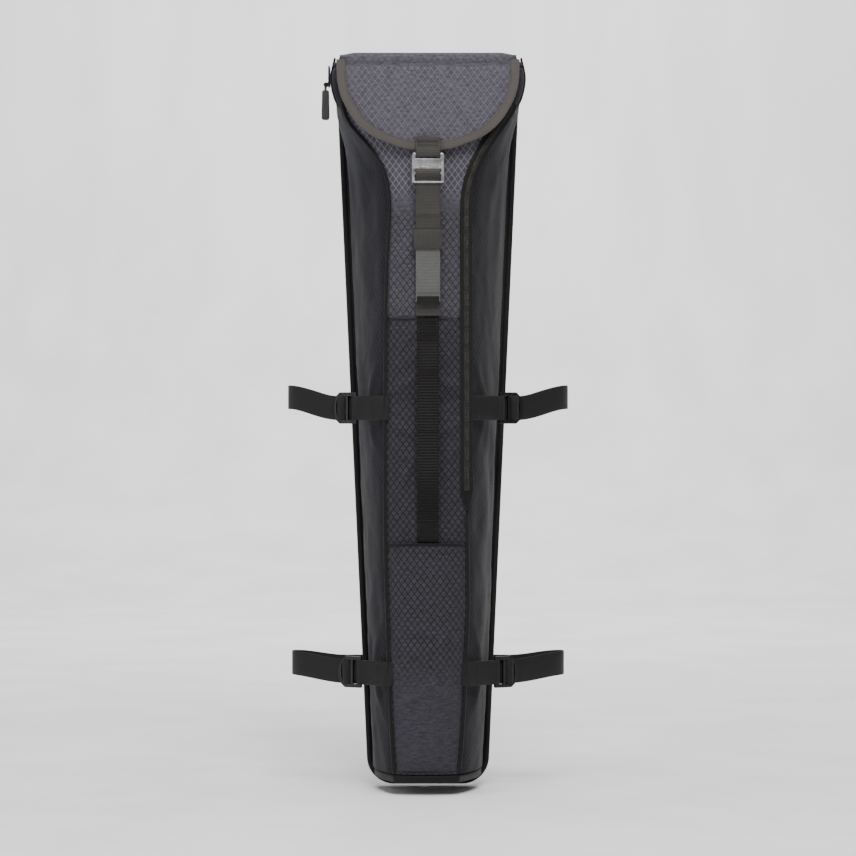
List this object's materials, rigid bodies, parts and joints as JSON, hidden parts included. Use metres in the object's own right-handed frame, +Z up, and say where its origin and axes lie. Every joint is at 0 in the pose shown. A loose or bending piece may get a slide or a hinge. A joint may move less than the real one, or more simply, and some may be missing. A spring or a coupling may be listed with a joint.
{
  "type": "padded tripod bag",
  "caption": "Long tapered padded tripod bag with a zipped top, hooked flap, webbing handle, slip pocket and buckled strap loops at its sides.",
  "frame": {"origin": "the middle of the back cushion's flat face", "axes": "+Z up along the bag, +Y out of the back, the flap and pocket face -Y, X across"},
  "size_m": [0.3002, 0.1421, 0.771],
  "materials": {
    "side_fabric": "woven with a fine diamond grid",
    "front_fabric": "heather woven with a raised diamond grid",
    "binding_tape": "matte grosgrain",
    "webbing": "matte woven",
    "handle_webbing": "ribbed woven",
    "zip_tape": "matte woven",
    "zip_coil": "satin",
    "silver_metal": "satin",
    "dark_metal": "satin",
    "pull_rubber": "matte",
    "board": "matte",
    "foam": "matte"
  },
  "bodies": {
    "bag": {"back_panel": "side_fabric", "back_binding": "binding_tape", "back_pad": "side_fabric", "back_stiffener": "board", "gusset_left": "side_fabric", "gusset_right": "side_fabric", "front_panel_lower": "front_fabric", "front_panel_upper": "front_fabric", "base_panel": "side_fabric", "foot_pad": "foam", "piping_left": "binding_tape", "piping_right": "binding_tape", "cross_seam": "binding_tape", "zip_tape": "zip_tape", "zip_coil": "zip_coil", "zip_end": "zip_tape", "zip_corner_left": "zip_tape", "zip_corner_right": "zip_tape", "handle_upper": "handle_webbing", "handle_lower": "handle_webbing", "pocket": "front_fabric", "pocket_binding": "binding_tape", "anchor_upper_left": "webbing", "anchor_upper_right": "webbing", "anchor_lower_left": "webbing", "anchor_lower_right": "webbing"},
    "lid": {"lid": "side_fabric"},
    "flap_top": {"flap_top": "front_fabric"},
    "flap": {"flap_front": "front_fabric", "flap_binding": "binding_tape", "closure_tab": "webbing"},
    "hook": {"closure_hook": "silver_metal"},
    "strap": {"closure_strap": "webbing", "closure_frame": "silver_metal"},
    "keeper": {"strap_keeper": "webbing"},
    "tail": {"closure_tail": "webbing"},
    "handle": {"handle_grip": "handle_webbing"},
    "slider": {"zip_slider": "dark_metal"},
    "pull": {"zip_pull": "pull_rubber"},
    "strap_set_upper_left": {"buckle_upper_left": "dark_metal", "loop_upper_left": "webbing"},
    "strap_set_upper_right": {"buckle_upper_right": "dark_metal", "loop_upper_right": "webbing"},
    "strap_set_lower_left": {"buckle_lower_left": "dark_metal", "loop_lower_left": "webbing"},
    "strap_set_lower_right": {"buckle_lower_right": "dark_metal", "loop_lower_right": "webbing"}
  },
  "joints": [
    {"name": "lid_opening", "type": "hinge", "parent": "bag", "child": "lid", "pos_m": [0, -0.01, 0.3872], "axis": [-1, 0, 0], "range_deg": [0, 100]},
    {"name": "flap_lift", "type": "hinge", "parent": "lid", "child": "flap_top", "pos_m": [0, -0.01, 0.3872], "axis": [-1, 0, 0], "range_deg": [0, 70]},
    {"name": "flap_fold", "type": "hinge", "parent": "flap_top", "child": "flap", "pos_m": [0, -0.13404, 0.38469], "axis": [-1, 0, 0], "range_deg": [0, 90]},
    {"name": "hook_swing", "type": "hinge", "parent": "flap", "child": "hook", "pos_m": [0, -0.13931, 0.27954], "axis": [-1, 0, 0], "range_deg": [0, 80]},
    {"name": "closure_strap_swing", "type": "hinge", "parent": "bag", "child": "strap", "pos_m": [0, -0.12029, 0.11313], "axis": [1, 0, 0], "range_deg": [0, 75]},
    {"name": "keeper_slide", "type": "slide", "parent": "strap", "child": "keeper", "axis": [0, -0.099, 0.9951], "range_m": [-0.008, 0.008]},
    {"name": "tail_lift", "type": "hinge", "parent": "strap", "child": "tail", "pos_m": [0, -0.12829, 0.17083], "axis": [-1, 0, 0], "range_deg": [0, 70]},
    {"name": "handle_pull", "type": "slide", "parent": "bag", "child": "handle", "axis": [0, -1, 0], "range_m": [0, 0.018]},
    {"name": "slider_travel", "type": "slide", "parent": "bag", "child": "slider", "axis": [0, 0, 1], "range_m": [-0.012, 0]},
    {"name": "pull_swing", "type": "hinge", "parent": "slider", "child": "pull", "pos_m": [-0.10678, -0.10451, 0.3555], "axis": [0, 1, 0], "range_deg": [0, 70]},
    {"name": "buckle_upper_left_turn", "type": "hinge", "parent": "bag", "child": "strap_set_upper_left", "pos_m": [-0.07629, -0.08783, 0.0185], "axis": [0, 0, 1], "range_deg": [0, 40]},
    {"name": "buckle_upper_right_turn", "type": "hinge", "parent": "bag", "child": "strap_set_upper_right", "pos_m": [0.07629, -0.08783, 0.0185], "axis": [0, 0, -1], "range_deg": [0, 40]},
    {"name": "buckle_lower_left_turn", "type": "hinge", "parent": "bag", "child": "strap_set_lower_left", "pos_m": [-0.07138, -0.0768, -0.2595], "axis": [0, 0, 1], "range_deg": [0, 40]},
    {"name": "buckle_lower_right_turn", "type": "hinge", "parent": "bag", "child": "strap_set_lower_right", "pos_m": [0.07138, -0.0768, -0.2595], "axis": [0, 0, -1], "range_deg": [0, 40]}
  ]
}
